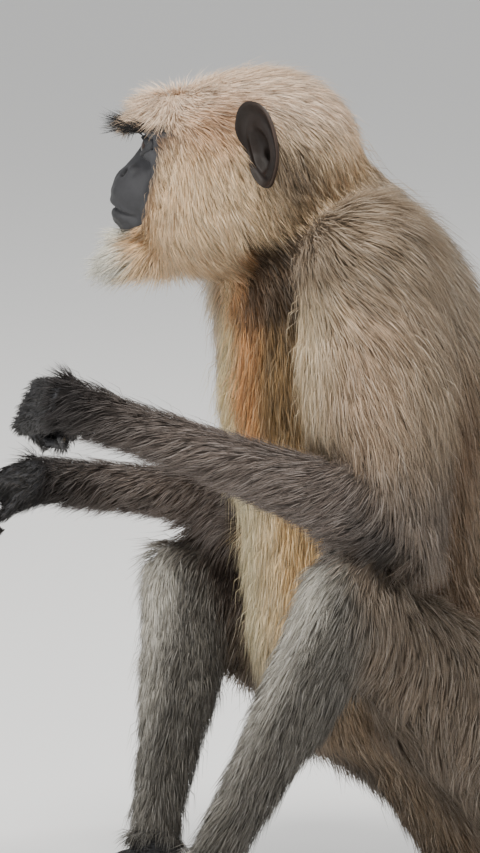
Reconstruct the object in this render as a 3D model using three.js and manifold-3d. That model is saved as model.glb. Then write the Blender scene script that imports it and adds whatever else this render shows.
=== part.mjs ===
// A grey langur, a long-tailed leaf monkey, sitting on the floor with its knees drawn up, its forearms laid
// across them, both hands half closed, and its head turned to its right. Millimetres, +Z up: the animal faces
// -Y, its left side is +X, and the origin is on the floor under its seat. Every surface is the outside of the
// coat, to the tips of the hair, or the bare skin of the face, ears, palms and soles.
import * as THREE from "three";
import { mergeVertices } from "three/addons/utils/BufferGeometryUtils.js";
import Module from "manifold-3d";

const wasm = await Module();
wasm.setup();

const at = (x, y, z) => new THREE.Vector3(x, y, z);
const { clamp, degToRad, lerp } = THREE.MathUtils;

// ---------------------------------------------------------------- driving dimensions
const GAP = 0.4; // clearance between neighbouring parts

// Joint centres of each limb, the way the hand points and its palm faces, and the turn of the foot.
const LIMBS = {
  left: {
    shoulder: at(72, -113, 371),
    elbow: at(130, -127, 234),
    wrist: at(90, -305, 303),
    hip: at(50, -4, 78),
    knee: at(122, -146, 190),
    ankle: at(60, -202, 34),
    hand: at(-0.96, -0.1, -0.15),
    palm: at(0.2, 0.9, -0.5),
    footTurn: 8,
    outward: 1,
  },
  right: {
    shoulder: at(-72, -110, 362),
    elbow: at(-108, -72, 214),
    wrist: at(-80, -258, 240),
    hip: at(-50, -4, 78),
    knee: at(-108, -152, 175),
    ankle: at(-28, -204, 34),
    hand: at(0.16, -0.93, -0.08),
    palm: at(0, 0.2, -1),
    footTurn: -6,
    outward: -1,
  },
};
const RADII = {
  shoulder: 45,
  arm: 44,
  elbow: 28,
  forearm: 18,
  wrist: 16,
  thigh: 58,
  knee: 30,
  calf: 27,
  ankle: 17,
};
const ARM_FRINGE = { back: 12, drop: 14, radius: 27 }; // the long hair that hangs behind the upper arm
const PALM = { length: 44, width: 26, thick: 17 };
const PHALANGES = [24, 17, 13]; // of the longest finger, from the knuckle to the tip
const CURL = [64, 152, 215]; // how far each phalanx is turned from the line of the palm, in degrees
const FOOT = { heel: -26, ball: 82, spread: 15, sole: 12, press: 2 };
const HEAD = { centre: at(-4, -148, 436), turn: 30 }; // between the ear holes; degrees to its right
const EYE = { forward: 56.5, out: 16.5, up: -1, radius: 9.5 };
const EAR = { height: 49, width: 31, lean: 4, thick: 3, cup: 6, stand: 30, place: [-6, 59, 5] };
const TAIL = { root: 21, middle: 15, tip: 10, lengths: 5, press: 1.5 };

// ---------------------------------------------------------------- fields, below 0 inside a form
const smoothMin = (a, b, k) => {
  const h = Math.max(k - Math.abs(a - b), 0) / k;
  return Math.min(a, b) - (h * h * k) / 4;
};
const blend = (k, ...fields) => (p) => fields.reduce((d, field) => smoothMin(d, field(p), k), Infinity);

// A rod with round ends, whose radius changes evenly from ra at a to rb at b.
function rod(a, b, ra, rb) {
  const along = b.clone().sub(a);
  const lengthSq = along.lengthSq();
  return (p) => {
    const t = clamp(p.clone().sub(a).dot(along) / lengthSq, 0, 1);
    return p.distanceTo(a.clone().addScaledVector(along, t)) - lerp(ra, rb, t);
  };
}

const egg = (centre, radii) => (p) => {
  const q = p.clone().sub(centre).divide(radii);
  const reach = q.length();
  return (reach * (reach - 1)) / (q.divide(radii).length() + 1e-9);
};

// ---------------------------------------------------------------- solids
function solid(geometry) {
  const bare = geometry.clone();
  bare.deleteAttribute("normal");
  bare.deleteAttribute("uv");
  const merged = mergeVertices(bare, 1e-4);
  return new wasm.Manifold(
    new wasm.Mesh({
      numProp: 3,
      vertProperties: merged.attributes.position.array,
      triVerts: new Uint32Array(merged.index.array),
    }),
  );
}

// A closed skin over rings of equal count, with a fan at each end round its own middle point.
function skin(rings, first, last) {
  const n = rings[0].length;
  const points = [...rings.flat(), first, last];
  const faces = [];
  for (let i = 0; i < rings.length - 1; i++) {
    for (let j = 0; j < n; j++) {
      const a = i * n + j;
      const b = i * n + ((j + 1) % n);
      faces.push(a, b, a + n, b, b + n, a + n);
    }
  }
  const end = (rings.length - 1) * n;
  for (let j = 0; j < n; j++) {
    const k = (j + 1) % n;
    faces.push(points.length - 2, k, j, points.length - 1, end + j, end + k);
  }
  return solid(new THREE.BufferGeometry().setFromPoints(points).setIndex(faces));
}

// How far a ray runs from a point inside a field to its surface.
const STRIDE = 3;
function cast(field, from, ray) {
  const value = (reach) => field(from.clone().addScaledVector(ray, reach));
  let inside = 0;
  let outside = STRIDE;
  while (value(outside) < 0) {
    inside = outside;
    outside += STRIDE;
  }
  for (let i = 0; i < 12; i++) {
    const middle = (inside + outside) / 2;
    if (value(middle) < 0) inside = middle;
    else outside = middle;
  }
  return inside;
}

// Unit rays round an axis, the first one as near as can be to the reference direction.
function fan(axis, reference, count) {
  const a = reference.clone().addScaledVector(axis, -reference.dot(axis)).normalize();
  const b = axis.clone().cross(a);
  return Array.from({ length: count }, (_, j) => {
    const angle = (2 * Math.PI * j) / count;
    return a.clone().multiplyScalar(Math.cos(angle)).addScaledVector(b, Math.sin(angle));
  });
}

const direction = (from, to) => to.clone().sub(from).normalize();

// The form of a field round a bent line: stations are { centre, normal }, and both ends are round.
function loft(field, stations, sectors, reference, grow = 0) {
  const touch = ({ centre }, ray) => centre.clone().addScaledVector(ray, cast(field, centre, ray) + grow);
  const rings = stations.map((s) => fan(s.normal, reference, sectors).map((ray) => touch(s, ray)));
  const first = stations[0];
  const last = stations.at(-1);
  return skin(rings, touch(first, first.normal.clone().negate()), touch(last, last.normal));
}

// The form of a field seen whole from one point inside it, in rings from pole to pole of an axis.
function star(field, centre, axis, reference, rings, sectors, grow = 0) {
  const touch = (ray) => centre.clone().addScaledVector(ray, cast(field, centre, ray) + grow);
  const around = fan(axis, reference, sectors);
  const circles = Array.from({ length: rings - 1 }, (_, i) => {
    const polar = Math.PI * (1 - (i + 1) / rings);
    return around.map((side) => {
      const ray = side.clone().multiplyScalar(Math.sin(polar)).addScaledVector(axis, Math.cos(polar));
      return touch(ray);
    });
  });
  return skin(circles, touch(axis.clone().negate()), touch(axis));
}

// A tube along a curve. A crowd above 1 draws its rings closer together towards the far end.
function tube(curve, radiusAt, { sectors, rings, reference, from = 0, to = 1, crowd = 1 }) {
  const circles = Array.from({ length: rings + 1 }, (_, i) => {
    const t = lerp(from, to, 1 - (1 - i / rings) ** crowd);
    const centre = curve.getPointAt(t);
    const rays = fan(curve.getTangentAt(t), reference, sectors);
    return rays.map((ray) => centre.clone().addScaledVector(ray, radiusAt(t)));
  });
  return skin(circles, curve.getPointAt(from), curve.getPointAt(to));
}

// Everything on the side of a plane that its normal points to, less a margin.
function beyond({ point, normal }, margin) {
  const size = 1400;
  const box = new THREE.BoxGeometry(size, size, size).translate(0, 0, size / 2 + margin);
  box.applyQuaternion(new THREE.Quaternion().setFromUnitVectors(at(0, 0, 1), normal));
  return solid(box.translate(point.x, point.y, point.z));
}
const flipped = ({ point, normal }) => ({ point, normal: normal.clone().negate() });
const FLOOR = { point: at(0, 0, 0), normal: at(0, 0, 1) };
const union = (solids) => solids.reduce((sum, next) => sum.add(next));

// A piece is made from make(grow), trimmed by planes; its room is the same a gap larger.
function piece(make, cuts) {
  const trim = (grow, margin) => cuts.reduce((body, cut) => body.intersect(beyond(cut, margin)), make(grow));
  return { body: trim(0, GAP / 2), room: trim(GAP, -GAP / 2) };
}
const without = (body, ...rooms) => rooms.reduce((rest, room) => rest.subtract(room), body);

// ---------------------------------------------------------------- trunk and neck
const TRUNK = blend(
  36,
  egg(at(0, 0, 72), at(82, 66, 84)),
  egg(at(0, -82, 165), at(74, 80, 92)),
  egg(at(0, -84, 285), at(75, 94, 96)),
  egg(at(0, -97, 352), at(78, 68, 58)),
  rod(at(0, -104, 376), at(-3, -128, 426), 54, 43),
);
const SPINE = [
  { point: at(0, 0, 5), normal: at(0, 0, 1) },
  { point: at(0, -38, 128), normal: at(0, -0.45, 1).normalize() },
  { point: at(0, -80, 226), normal: at(0, -0.1, 1).normalize() },
  { point: at(-1, -104, 372), normal: at(0, -0.5, 1).normalize() },
  { point: at(-3, -130, 426), normal: at(0, -0.5, 1).normalize() },
];
const TRUNK_RINGS = 3; // between one named place on the spine and the next
function trunkForm(grow) {
  const stations = [];
  SPINE.slice(1).forEach((upper, i) => {
    const lower = SPINE[i];
    for (let k = 0; k < TRUNK_RINGS; k++) {
      const t = k / TRUNK_RINGS;
      stations.push({
        centre: lower.point.clone().lerp(upper.point, t),
        normal: lower.normal.clone().lerp(upper.normal, t).normalize(),
      });
    }
  });
  stations.push({ centre: SPINE.at(-1).point, normal: SPINE.at(-1).normal });
  return loft(TRUNK, stations, 18, at(0, 1, 0), grow);
}
const pelvis = piece(trunkForm, [FLOOR, flipped(SPINE[1])]);
const belly = piece(trunkForm, [SPINE[1], flipped(SPINE[2])]);
const chest = piece(trunkForm, [SPINE[2], flipped(SPINE[3])]);
const neck = piece(trunkForm, [SPINE[3]]);

// ---------------------------------------------------------------- limbs
// A length of a limb between two joints: rings across its own axis, run on into the round of both ends.
const LIMB_RINGS = 5;
function limbLength(field, from, to, startRadius, endRadius, reference) {
  const normal = direction(from, to);
  const shoulders = [0.82, 0.45];
  const stations = [
    ...shoulders.map((share) => from.clone().addScaledVector(normal, -share * startRadius)),
    ...Array.from({ length: LIMB_RINGS + 1 }, (_, i) => from.clone().lerp(to, i / LIMB_RINGS)),
    ...shoulders.toReversed().map((share) => to.clone().addScaledVector(normal, share * endRadius)),
  ].map((centre) => ({ centre, normal }));
  return (grow) => loft(field, stations, 10, reference, grow);
}
const bend = (a, b, c) => ({ point: b, normal: direction(a, b).add(direction(b, c)).normalize() });

function arm({ shoulder, elbow, wrist, hand, outward }) {
  const back = at(0.2 * outward, 1, 0).normalize();
  const hang = (t, drop) =>
    shoulder.clone().lerp(elbow, t).addScaledVector(back, ARM_FRINGE.back).add(at(0, 0, -drop));
  const middle = shoulder.clone().lerp(elbow, 0.5);
  const upper = blend(
    14,
    rod(shoulder, middle, RADII.shoulder, RADII.arm),
    rod(middle, elbow, RADII.arm, RADII.elbow),
    rod(hang(0.55, 0), hang(1, ARM_FRINGE.drop), RADII.arm - 9, ARM_FRINGE.radius),
  );
  const half = elbow.clone().lerp(wrist, 0.5);
  const lower = blend(
    12,
    rod(elbow, half, RADII.elbow, RADII.forearm),
    rod(half, wrist, RADII.forearm, RADII.wrist),
  );
  const elbowPlane = bend(shoulder, elbow, wrist);
  const wristPlane = bend(elbow, wrist, wrist.clone().add(hand));
  const reference = at(0, 1, 0.3);
  const makeUpper = limbLength(upper, shoulder, elbow, RADII.shoulder, RADII.elbow, reference);
  const makeLower = limbLength(lower, elbow, wrist, RADII.elbow, RADII.wrist, reference);
  return {
    upper: piece(makeUpper, [flipped(elbowPlane)]),
    lower: piece(makeLower, [elbowPlane, flipped(wristPlane)]),
    wristPlane,
  };
}

function leg({ hip, knee, ankle }) {
  const thighBelly = hip.clone().lerp(knee, 0.4);
  const thigh = blend(
    16,
    rod(hip, thighBelly, RADII.thigh, RADII.thigh - 8),
    rod(thighBelly, knee, RADII.thigh - 8, RADII.knee),
  );
  const calf = knee.clone().lerp(ankle, 0.32).add(at(0, 5, 0));
  const shin = blend(14, rod(knee, calf, RADII.knee, RADII.calf), rod(calf, ankle, RADII.calf, RADII.ankle));
  const kneePlane = bend(hip, knee, ankle);
  const anklePlane = { point: ankle, normal: direction(knee, ankle).add(at(0, 0, -0.6)).normalize() };
  const reference = at(0, -1, 0.3);
  const makeThigh = limbLength(thigh, hip, knee, RADII.thigh, RADII.knee, reference);
  const makeShin = limbLength(shin, knee, ankle, RADII.knee, RADII.ankle, reference);
  return {
    thigh: piece(makeThigh, [flipped(kneePlane), FLOOR]),
    shin: piece(makeShin, [kneePlane, flipped(anklePlane)]),
    anklePlane,
  };
}

// A finger or toe along a bent line, a little thicker at its joints and round at its tip.
function digit(points, base, tip) {
  const curve = new THREE.CatmullRomCurve3(points, false, "centripetal");
  const end = tip / curve.getLength();
  const radiusAt = (t) => {
    const round = Math.max(0, (t - (1 - end)) / end);
    return lerp(base, tip, t) * Math.sqrt(1.02 - round * round);
  };
  const reference = points[1].clone().sub(points[0]).cross(points.at(-1).clone().sub(points[0]));
  return tube(curve, radiusAt, { sectors: 6, rings: 4, reference, crowd: 1.8 });
}

// Hand frame: X from the wrist to the knuckles, Y towards the palm, Z across to the thumb side.
function handSolid({ wrist, hand, palm: palmWay, outward }, wristPlane) {
  const x = hand.clone().normalize();
  const y = palmWay.clone().addScaledVector(x, -palmWay.dot(x)).normalize();
  const z = x.clone().cross(y).multiplyScalar(-outward);
  const place = (along, palmward, thumbward) =>
    wrist.clone().addScaledVector(x, along).addScaledVector(y, palmward).addScaledVector(z, thumbward);
  const { length, width, thick } = PALM;
  const rows = [-0.42, -0.14, 0.14, 0.42];
  const sizes = [0.86, 0.98, 1, 0.92];
  const knuckle = (i) => [length * (0.88 + 0.12 * sizes[i]), width * rows[i]];
  const bones = rows.map((row, i) => {
    const [reach, across] = knuckle(i);
    return rod(place(0, 0, across * 0.6), place(reach, 0, across), thick / 2, 7);
  });
  const heel = rod(wrist, place(10, 2, 0), RADII.wrist, 12);
  const thumbBase = rod(place(8, 4, width * 0.3), place(22, 8, width * 0.45), 9, 7);
  const palmField = blend(6, heel, thumbBase, ...bones);
  const palmWhole = star(palmField, place(length * 0.45, 1, 0), x, z, 7, 10);
  const palm = palmWhole.intersect(beyond(wristPlane, GAP / 2));
  const fingers = rows.map((row, i) => {
    const [reach, across] = knuckle(i);
    let [along, palmward] = [reach, 0];
    const points = [place(along - 4, palmward, across)];
    PHALANGES.forEach((bone, k) => {
      const turn = degToRad(CURL[k]);
      along += Math.cos(turn) * bone * sizes[i];
      palmward += Math.sin(turn) * bone * sizes[i];
      points.push(place(along, palmward, across));
    });
    return digit(points, 6.6, 4.6);
  });
  const thumb = digit(
    [place(14, 6, width * 0.4), place(28, 13, width * 0.58), place(40, 20, width * 0.5)],
    7,
    4.8,
  );
  return union([palm, ...fingers, thumb]);
}

// Foot frame: forward from heel to toes, out to its outer side, up from the floor, under the ankle.
function footSolid({ ankle, footTurn, outward }, anklePlane) {
  const angle = degToRad(footTurn);
  const x = at(Math.sin(angle), -Math.cos(angle), 0);
  const y = at(Math.cos(angle), Math.sin(angle), 0).multiplyScalar(outward);
  const place = (forward, out, up) =>
    at(ankle.x, ankle.y, 0).addScaledVector(x, forward).addScaledVector(y, out).add(at(0, 0, up));
  const { heel, ball, spread, sole, press } = FOOT;
  const low = sole - press;
  const bones = [-1, 0, 1].map((side) =>
    rod(place(12, side * 8, 15), place(ball, side * spread + 3, low - 1), 13, sole - 2),
  );
  const field = blend(
    8,
    rod(place(0, 0, ankle.z), place(-2, 0, 18), RADII.ankle, 15),
    rod(place(heel + 13, 0, 11), place(10, 0, 16), 13, 16),
    ...bones,
  );
  const stations = Array.from({ length: 7 }, (_, i) => ({
    centre: place(lerp(heel + 10, ball + 2, i / 6), lerp(0, 3, i / 6), low),
    normal: x,
  }));
  const body = loft(field, stations, 11, at(0, 0, 1)).intersect(beyond(anklePlane, GAP / 2));
  const toes = [
    [-9, 36],
    [-0.5, 41],
    [8.5, 38],
    [17, 33],
  ].map(([out, length]) =>
    digit(
      [
        place(ball - 8, out, 8),
        place(ball + length * 0.35, out * 1.15, 10),
        place(ball + length * 0.75, out * 1.25, 7),
        place(ball + length, out * 1.28, 4.5),
      ],
      7.6,
      5,
    ),
  );
  const bigToePath = [place(20, -10, 10), place(44, -24, 10), place(62, -30, 7), place(74, -31, 5)];
  const bigToe = digit(bigToePath, 10, 5.8);
  return union([body, ...toes, bigToe]).intersect(beyond(FLOOR, 0));
}

// ---------------------------------------------------------------- head
// Head frame: X forward, Y to its left, Z up, from the point between the ear holes.
const headTurn = degToRad(HEAD.turn);
const FORWARD = at(-Math.sin(headTurn), -Math.cos(headTurn), 0);
const LEFTWARD = at(Math.cos(headTurn), -Math.sin(headTurn), 0);
const UP = at(0, 0, 1);
const HEAD_FRAME = new THREE.Matrix4().makeBasis(FORWARD, LEFTWARD, UP).setPosition(HEAD.centre);
const TO_HEAD = HEAD_FRAME.clone().invert();
const onHead = (forward, left, up) => at(forward, left, up).applyMatrix4(HEAD_FRAME);
const inHead = (k, ...fields) => {
  const field = blend(k, ...fields);
  return (p) => field(p.clone().applyMatrix4(TO_HEAD));
};
const pair = (make) => [1, -1].map(make);

const CRANIUM = inHead(
  22,
  egg(at(-4, 0, 2), at(50, 48, 45)),
  egg(at(30, 0, 8), at(36, 38, 27)),
  ...pair((s) => egg(at(19, 27 * s, -24), at(36, 30, 38))),
  egg(at(29, 0, -46), at(41, 46, 30)),
  ...pair((s) => rod(at(-22, 14 * s, -12), at(-2, 18 * s, -35), 33, 28)),
);
const BROW = inHead(
  12,
  rod(at(34, 0, 18), at(68, 0, 22), 20, 11),
  rod(at(62, 24, 16), at(62, -24, 16), 10, 10),
);
const BEARD = inHead(14, rod(at(42, 0, -50), at(78, 0, -63), 27, 18));
const FACE = inHead(
  8,
  egg(at(56, 0, -28), at(30, 22, 22)),
  egg(at(68, 0, -40), at(19, 15, 11)),
  rod(at(54, 0, 6), at(74, 0, -15), 11, 9.5),
  ...pair((s) => egg(at(50, 17 * s, 0), at(13, 17, 16))),
  ...pair((s) => rod(at(58, 3 * s, 12), at(54, 24 * s, 9), 7, 7)),
);
const faceForm = (grow) => star(FACE, onHead(52, 0, -18), FORWARD, UP, 13, 16, grow);
const headForm = (grow) =>
  union([
    star(CRANIUM, onHead(6, 0, -12), FORWARD, UP, 14, 20, grow),
    star(BROW, onHead(52, 0, 18), FORWARD, UP, 7, 10, grow),
    star(BEARD, onHead(60, 0, -56), FORWARD, UP, 7, 10, grow),
  ]);

const ball = (centre, radii, segments) =>
  solid(
    new THREE.SphereGeometry(1, segments, Math.round(segments * 0.7))
      .rotateZ(-Math.PI / 2)
      .scale(...radii)
      .translate(...centre)
      .applyMatrix4(HEAD_FRAME),
  );
const eyeBall = (side, grow) => {
  const radius = EYE.radius + grow;
  return ball([EYE.forward, EYE.out * side, EYE.up], [radius, radius, radius], 11);
};
const nostril = (side) => ball([83.5, 4.5 * side, -19], [3.6, 1.8, 2], 6);

// An ear: a cupped leaf, its front edge against the head and its back edge standing out.
function earSolid(side) {
  const around = 13;
  const outline = (angle) => {
    const up = Math.sin(angle);
    const back = Math.cos(angle);
    const breadth = EAR.width * (0.46 + 0.07 * up);
    return [back * breadth - up * EAR.lean, (up * EAR.height) / 2];
  };
  const layer = (share, face) =>
    Array.from({ length: around }, (_, j) => {
      const [back, up] = outline((2 * Math.PI * j) / around);
      const depth = -EAR.cup * (1 - share ** 2) + (face * EAR.thick) / 2;
      return at(-back * share, depth, up * share);
    });
  const shares = [0.55, 0.92];
  const rings = [...shares.map((share) => layer(share, -1)), layer(1, 0)];
  rings.push(...shares.toReversed().map((share) => layer(share, 1)));
  const middle = (face) => at(0, -EAR.cup + (face * EAR.thick) / 2, 0);
  const place = (p) => {
    const turned = p.clone().applyAxisAngle(UP, degToRad(-EAR.stand));
    const [forward, left, up] = EAR.place;
    return onHead(forward + turned.x, side * (left + turned.y), up + turned.z);
  };
  const placed = rings.map((ring) => ring.map(place));
  return side > 0
    ? skin(placed, place(middle(-1)), place(middle(1)))
    : skin(placed.toReversed(), place(middle(1)), place(middle(-1)));
}

// ---------------------------------------------------------------- tail
const TAIL_PATH = new THREE.CatmullRomCurve3(
  [
    at(0, 20, 48),
    at(0, 58, 26),
    at(8, 112, 14),
    at(52, 170, 13.5),
    at(124, 192, 13),
    at(192, 166, 12.5),
    at(232, 106, 12),
    at(244, 30, 11.5),
    at(240, -50, 11),
    at(228, -126, 10.5),
    at(212, -200, 10),
    at(190, -262, 9),
  ],
  false,
  "centripetal",
);
const tailRadius = (t) => {
  const even = t < 0.3 ? lerp(TAIL.root, TAIL.middle, t / 0.3) : lerp(TAIL.middle, TAIL.tip, (t - 0.3) / 0.7);
  const round = Math.max(0, (t - 0.97) / 0.03);
  return even * Math.sqrt(1.02 - round * round);
};
const tailCut = (i) => ({
  point: TAIL_PATH.getPointAt(i / TAIL.lengths),
  normal: TAIL_PATH.getTangentAt(i / TAIL.lengths),
});
const TAIL_MESH = { sectors: 9, rings: 6, reference: UP };
function tailLength(i) {
  const isTip = i === TAIL.lengths - 1;
  const overlap = 0.004;
  const from = Math.max(0, i / TAIL.lengths - overlap);
  const to = Math.min(1, (i + 1) / TAIL.lengths + overlap);
  const make = (grow) =>
    tube(TAIL_PATH, (t) => tailRadius(t) + grow, { ...TAIL_MESH, from, to, crowd: isTip ? 1.5 : 1 });
  const cuts = [FLOOR];
  if (i > 0) cuts.push(tailCut(i));
  if (!isTip) cuts.push(flipped(tailCut(i + 1)));
  return piece(make, cuts).body.intersect(beyond(FLOOR, 0));
}

// ---------------------------------------------------------------- the animal
const COLOURS = {
  crown: "#cfc3ad",
  chest: "#c2ad8f",
  coat: "#9d8a74",
  flank: "#8f7558",
  forearm: "#6b6058",
  shin: "#8e8881",
  thigh: "#6f6459",
  dark: "#1d1b1b",
  face: "#26262c",
  eye: "#2a1608",
};
const monkey = new THREE.Group();
monkey.name = "sitting_grey_langur";

function add(name, manifold, colour, roughness = 0.95) {
  const { vertProperties, triVerts } = manifold.getMesh();
  const geometry = new THREE.BufferGeometry();
  geometry.setAttribute("position", new THREE.BufferAttribute(new Float32Array(vertProperties), 3));
  geometry.setIndex(new THREE.BufferAttribute(new Uint32Array(triVerts), 1));
  geometry.computeVertexNormals();
  const material = new THREE.MeshStandardMaterial({ color: COLOURS[colour], roughness, metalness: 0 });
  const mesh = new THREE.Mesh(geometry, material);
  mesh.name = name;
  monkey.add(mesh);
}

const headRoom = headForm(GAP);
const faceRoom = faceForm(GAP);
const trunkRooms = [pelvis, belly, chest].map(({ room }) => room);
const eyeRooms = pair((side) => eyeBall(side, GAP));
const nostrils = pair((side) => nostril(side));

add("head", without(headForm(0), faceRoom, ...eyeRooms), "crown");
add("face", without(faceForm(0), ...eyeRooms, ...nostrils), "face", 0.6);
add("neck", without(neck.body, headRoom, faceRoom), "crown");
add("chest", without(chest.body, headRoom), "chest");
add("belly", belly.body, "flank");
add("pelvis", pelvis.body.intersect(beyond(FLOOR, 0)), "flank");
["left", "right"].forEach((name) => {
  const limb = LIMBS[name];
  const side = limb.outward;
  const { thigh, shin, anklePlane } = leg(limb);
  const { upper, lower, wristPlane } = arm(limb);
  add(`${name}_eye`, eyeBall(side, 0), "eye", 0.1);
  add(`${name}_ear`, without(earSolid(side), headRoom, neck.room), "dark", 0.6);
  add(`${name}_thigh`, without(thigh.body, ...trunkRooms), "thigh");
  add(`${name}_shin`, without(shin.body, ...trunkRooms), "shin");
  add(`${name}_foot`, footSolid(limb, anklePlane), "dark", 0.8);
  const aroundArm = [...trunkRooms, neck.room, headRoom, thigh.room, shin.room];
  add(`${name}_upper_arm`, without(upper.body, ...aroundArm), "coat");
  add(`${name}_forearm`, without(lower.body, ...trunkRooms, thigh.room, shin.room), "forearm");
  add(`${name}_hand`, handSolid(limb, wristPlane), "dark", 0.8);
});
for (let i = 0; i < TAIL.lengths; i++) {
  const length = tailLength(i);
  add(`tail_${i + 1}`, i === 0 ? without(length, pelvis.room) : length, i < 3 ? "flank" : "thigh");
}

export default monkey;
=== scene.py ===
"""A sitting grey langur: one skin with a sculpted face, a coat of solid tufts, eyes, ears and nails, built
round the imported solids. Metres. The animal faces -Y, its left is +X, and it sits on the floor at Z = 0."""

import math

import bmesh
import bpy
import numpy as np
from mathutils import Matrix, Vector, noise
from mathutils.bvhtree import BVHTree
from mathutils.kdtree import KDTree


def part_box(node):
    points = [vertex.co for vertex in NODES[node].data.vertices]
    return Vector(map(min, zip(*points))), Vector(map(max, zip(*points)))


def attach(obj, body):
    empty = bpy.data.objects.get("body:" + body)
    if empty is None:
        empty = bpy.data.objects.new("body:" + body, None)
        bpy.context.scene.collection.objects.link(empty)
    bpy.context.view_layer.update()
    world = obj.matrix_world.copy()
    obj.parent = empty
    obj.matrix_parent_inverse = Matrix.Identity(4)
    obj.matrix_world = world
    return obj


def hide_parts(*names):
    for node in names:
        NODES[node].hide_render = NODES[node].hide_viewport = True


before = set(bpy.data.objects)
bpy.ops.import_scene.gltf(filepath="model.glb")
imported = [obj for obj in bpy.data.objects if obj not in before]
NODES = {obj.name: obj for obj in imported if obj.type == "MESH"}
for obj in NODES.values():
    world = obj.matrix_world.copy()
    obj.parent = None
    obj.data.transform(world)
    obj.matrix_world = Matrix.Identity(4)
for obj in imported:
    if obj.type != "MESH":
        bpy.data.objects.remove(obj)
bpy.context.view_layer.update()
SEED = 11
RNG = np.random.default_rng(SEED)
noise.seed_set(SEED)
MM = 0.001
UP = np.array([0.0, 0.0, 1.0])
SIDES = {"left": 1, "right": -1}


# ---------------------------------------------------------------- camera, floor and light
# The camera stands to the animal's left, a little in front of it and a little above, with a long lens.
VIEW = {"azimuth": 68, "elevation": 6, "distance": 7.0}
VIEW |= {"framed_height": 0.4948, "aim_height": 0.2675, "aim_back": 0.15}
LIGHTS = {
    "key": ((1.5, -0.9, 2.7), 1.2, 118, (1.0, 0.97, 0.92)),
    "fill": ((1.6, -2.8, 1.2), 2.4, 46, (0.95, 0.97, 1.0)),
    "back": ((-1.2, 2.0, 2.6), 1.4, 70, (1.0, 0.98, 0.95)),
}
FLOOR_REACH = 60


def aim(thing, place, direction):
    thing.location = place
    thing.rotation_mode = "QUATERNION"
    thing.rotation_quaternion = direction.to_track_quat("-Z", "Y")
    bpy.context.collection.objects.link(thing)


def set_camera():
    azimuth = math.radians(VIEW["azimuth"])
    elevation = math.radians(VIEW["elevation"])
    right = Vector((math.cos(azimuth), math.sin(azimuth), 0))
    level = Vector((math.sin(azimuth), -math.cos(azimuth), 0))
    back = level * math.cos(elevation) + Vector((0, 0, math.sin(elevation)))
    data = bpy.data.cameras.new("camera")
    data.sensor_width = 36
    data.lens = data.sensor_width * VIEW["distance"] / VIEW["framed_height"]
    data.clip_end = 100
    camera = bpy.data.objects.new("camera", data)
    target = Vector((0, 0, VIEW["aim_height"])) - right * VIEW["aim_back"]
    aim(camera, target + back * VIEW["distance"], -back)
    bpy.context.scene.camera = camera


def set_studio():
    corners = [(x * FLOOR_REACH, y * FLOOR_REACH, 0) for x, y in ((-1, -1), (1, -1), (1, 1), (-1, 1))]
    mesh = bpy.data.meshes.new("floor")
    mesh.from_pydata(corners, [], [(0, 1, 2, 3)])
    mesh.materials.append(floor_finish())
    new_object("floor", mesh)
    for name, (place, size, power, tint) in LIGHTS.items():
        data = bpy.data.lights.new(name, "AREA")
        data.shape = "DISK"
        data.size = size
        data.energy = power
        data.color = tint
        light = bpy.data.objects.new(name, data)
        light.visible_camera = False
        aim(light, Vector(place), Vector((0, -0.1, 0.25)) - Vector(place))
    world = bpy.data.worlds.new("studio")
    bpy.context.scene.world = world
    world.use_nodes = True
    background = world.node_tree.nodes["Background"]
    background.inputs["Color"].default_value = (0.9, 0.9, 0.9, 1)
    background.inputs["Strength"].default_value = 0.8


# ---------------------------------------------------------------- small helpers
def colour(code):
    """A linear colour from a hex code."""
    values = np.array([int(code[i : i + 2], 16) / 255 for i in (1, 3, 5)])
    return np.where(values <= 0.04045, values / 12.92, ((values + 0.055) / 1.055) ** 2.4)


def unit(v):
    v = np.asarray(v, dtype=float)
    return v / (np.linalg.norm(v, axis=-1, keepdims=True) + 1e-12)


def smoothstep(low, high, x):
    t = np.clip((x - low) / (high - low), 0, 1)
    return t * t * (3 - 2 * t)


def mound(points, middle, radii):
    """1 at the middle of an ellipsoid, falling smoothly to 0 at its surface."""
    return 1 - smoothstep(0, 1, np.linalg.norm((points - np.array(middle)) / np.array(radii), axis=1))


def mix(a, b, t):
    t = np.asarray(t)[:, None]
    return a * (1 - t) + b * t


def new_object(name, mesh):
    piece = bpy.data.objects.new(name, mesh)
    bpy.context.collection.objects.link(piece)
    return piece


def mesh_of(name, verts, tris):
    mesh = bpy.data.meshes.new(name)
    mesh.vertices.add(len(verts))
    mesh.vertices.foreach_set("co", np.ascontiguousarray(verts, dtype=np.float32).ravel())
    mesh.loops.add(tris.size)
    mesh.loops.foreach_set("vertex_index", tris.astype(np.int32).ravel())
    mesh.polygons.add(len(tris))
    mesh.polygons.foreach_set("loop_start", np.arange(0, tris.size, 3, dtype=np.int32))
    mesh.update(calc_edges=True)
    mesh.polygons.foreach_set("use_smooth", np.ones(len(tris), dtype=bool))
    return mesh


def set_colours(mesh, name, values):
    rgba = np.ones((len(values), 4), dtype=np.float32)
    rgba[:, :3] = values
    mesh.color_attributes.new(name, "FLOAT_COLOR", "POINT").data.foreach_set("color", rgba.ravel())


def set_numbers(mesh, name, values):
    mesh.attributes.new(name, "FLOAT", "POINT").data.foreach_set("value", values.astype(np.float32))


# ---------------------------------------------------------------- places read from the frame
def node_mesh(name):
    """(vertices, triangles) of a solid, with its split corners joined again."""
    mesh = bmesh.new()
    mesh.from_mesh(NODES[name].data)
    bmesh.ops.remove_doubles(mesh, verts=mesh.verts, dist=2e-5)
    bmesh.ops.triangulate(mesh, faces=mesh.faces)
    mesh.verts.ensure_lookup_table()
    verts = np.array([v.co[:] for v in mesh.verts])
    tris = np.array([[v.index for v in f.verts] for f in mesh.faces])
    mesh.free()
    return verts, tris


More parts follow.
